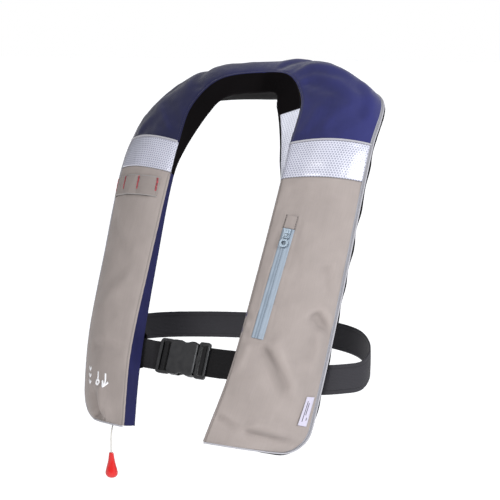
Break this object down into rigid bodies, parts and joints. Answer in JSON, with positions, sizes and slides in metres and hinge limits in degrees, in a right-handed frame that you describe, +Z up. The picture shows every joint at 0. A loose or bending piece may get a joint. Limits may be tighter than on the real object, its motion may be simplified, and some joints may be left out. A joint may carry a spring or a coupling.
{
  "type": "inflatable life jacket",
  "caption": "Horseshoe inflatable life jacket: folded bladder in a fabric cover with reflective bands, zip pocket, gas inflator with a pull toggle, and a waist belt with a side-release buckle.",
  "frame": {"origin": "where the wearer's nape carries the collar: the middle of the lining's lower edge at the back of the neck", "axes": "+X to the wearer's left, +Y to the wearer's back, +Z up; the chest side faces -Y"},
  "size_m": [0.4251, 0.4096, 0.5623],
  "materials": {
    "grey_fabric": "woven coated polyester",
    "navy_fabric": "woven coated polyester",
    "black_fabric": "air mesh and woven lining",
    "reflective": "honeycomb retroreflective vinyl",
    "piping": "corded bias tape",
    "webbing": "ribbed polyester webbing",
    "zip_tape": "coated zip tape",
    "bright_metal": "plated",
    "black_plastic": "moulded",
    "red_plastic": "moulded, glossy",
    "green_plastic": "moulded",
    "cord": "braided",
    "white_label": "woven label",
    "bladder_fabric": "polyurethane-coated nylon",
    "rubber": "moulded"
  },
  "bodies": {
    "jacket": {"front_cover_left": "grey_fabric", "front_cover_right": "grey_fabric", "reflective_band_left": "reflective", "band_piping_left": "piping", "reflective_band_right": "reflective", "band_piping_right": "piping", "yoke_cover": "navy_fabric", "inner_gusset_left": "navy_fabric", "inner_gusset_right": "navy_fabric", "inner_reflective_patch": "reflective", "collar_lining": "black_fabric", "back_panel": "black_fabric", "edge_closure": "black_fabric", "edge_piping": "piping", "bottom_wall_left": "navy_fabric", "bottom_wall_right": "navy_fabric", "accessory_strip": "webbing", "side_label": "white_label", "pocket_zip_tape": "zip_tape", "pocket_bag": "black_fabric", "bladder": "bladder_fabric", "lifting_becket": "webbing", "oral_tube_flange": "bladder_fabric", "oral_tube": "rubber", "oral_valve_body": "red_plastic", "whistle": "red_plastic", "whistle_lanyard": "cord", "inflator_body": "black_plastic", "cylinder_seal": "rubber", "lever_pin": "bright_metal", "firing_pin_spring": "bright_metal", "water_sensing_bobbin": "white_label", "manifold_stem": "rubber", "stem_nut": "bright_metal", "indicator_clip": "green_plastic", "belt_front_left": "webbing", "waist_belt": "webbing", "belt_loop_left": "black_fabric", "belt_loop_right": "black_fabric", "buckle_female": "black_plastic"},
    "zip_slider": {"zip_slider": "bright_metal"},
    "zip_pull": {"zip_pull": "bright_metal"},
    "buckle_male": {"buckle_male": "black_plastic"},
    "buckle_arm_upper": {"buckle_arm_upper": "black_plastic"},
    "buckle_arm_lower": {"buckle_arm_lower": "black_plastic"},
    "inflator_lever": {"inflator_lever": "red_plastic"},
    "firing_pin": {"firing_pin": "bright_metal"},
    "pull": {"pull_cord": "cord", "pull_toggle": "red_plastic"},
    "gas_cylinder": {"gas_cylinder": "bright_metal"},
    "sensor_cap": {"sensor_cap": "black_plastic"},
    "oral_dust_cap": {"oral_dust_cap": "rubber"},
    "oral_valve_poppet": {"oral_valve_poppet": "black_plastic"}
  },
  "joints": [
    {"name": "zip_slide", "type": "slide", "parent": "jacket", "child": "zip_slider", "axis": [-0.0684, -0.4959, -0.8657], "range_m": [0, 0.1416]},
    {"name": "zip_pull_swing", "type": "hinge", "parent": "zip_slider", "child": "zip_pull", "pos_m": [0.11636, -0.15466, -0.18042], "axis": [-0.9905, -0.0702, 0.1185], "range_deg": [0, 150]},
    {"name": "buckle_release", "type": "slide", "parent": "jacket", "child": "buckle_male", "axis": [1, 0, 0], "range_m": [0, 0.032], "deforming": ["belt_front_left", "buckle_arm_upper", "buckle_arm_lower"]},
    {"name": "buckle_arm_upper_flex", "type": "hinge", "parent": "buckle_male", "child": "buckle_arm_upper", "pos_m": [0.008, -0.20764, -0.34253], "axis": [0, -0.891, 0.454], "range_deg": [0, 7], "stiffness_Nm_per_rad": 0.3, "deforming": ["buckle_arm_upper"]},
    {"name": "buckle_arm_lower_flex", "type": "hinge", "parent": "buckle_male", "child": "buckle_arm_lower", "pos_m": [0.008, -0.22036, -0.36747], "axis": [0, 0.891, -0.454], "range_deg": [0, 7], "stiffness_Nm_per_rad": 0.3, "deforming": ["buckle_arm_lower"]},
    {"name": "cord_pull", "type": "slide", "parent": "jacket", "child": "pull", "axis": [0.0853, -0.4394, -0.8942], "range_m": [0, 0.041]},
    {"name": "inflator_lever_turn", "type": "hinge", "parent": "jacket", "child": "inflator_lever", "pos_m": [-0.11693, -0.23826, -0.39292], "axis": [0.4088, 0.8339, -0.3708], "range_deg": [0, 80]},
    {"name": "firing_pin_travel", "type": "slide", "parent": "jacket", "child": "firing_pin", "axis": [-0.0853, 0.4394, 0.8942], "range_m": [0, 0.0039], "deforming": ["firing_pin_spring"]},
    {"name": "gas_cylinder_unscrew", "type": "hinge", "parent": "jacket", "child": "gas_cylinder", "pos_m": [-0.12597, -0.2178, -0.35687], "axis": [-0.0853, 0.4394, 0.8942], "continuous": true},
    {"name": "sensor_cap_unscrew", "type": "hinge", "parent": "jacket", "child": "sensor_cap", "pos_m": [-0.14837, -0.21977, -0.386], "axis": [-0.9086, 0.3339, -0.2508], "continuous": true},
    {"name": "dust_cap_pull", "type": "slide", "parent": "jacket", "child": "oral_dust_cap", "axis": [0.059, 0.43, 0.9009], "range_m": [0, 0.016]},
    {"name": "oral_valve_push", "type": "slide", "parent": "jacket", "child": "oral_valve_poppet", "axis": [-0.059, -0.43, -0.9009], "range_m": [0, 0.0025], "stiffness_N_per_m": 200}
  ],
  "couplings": [
    {"joint": "inflator_lever_turn", "follows": "cord_pull", "rad_per_m": 34},
    {"joint": "firing_pin_travel", "follows": "cord_pull", "ratio": 0.095}
  ]
}
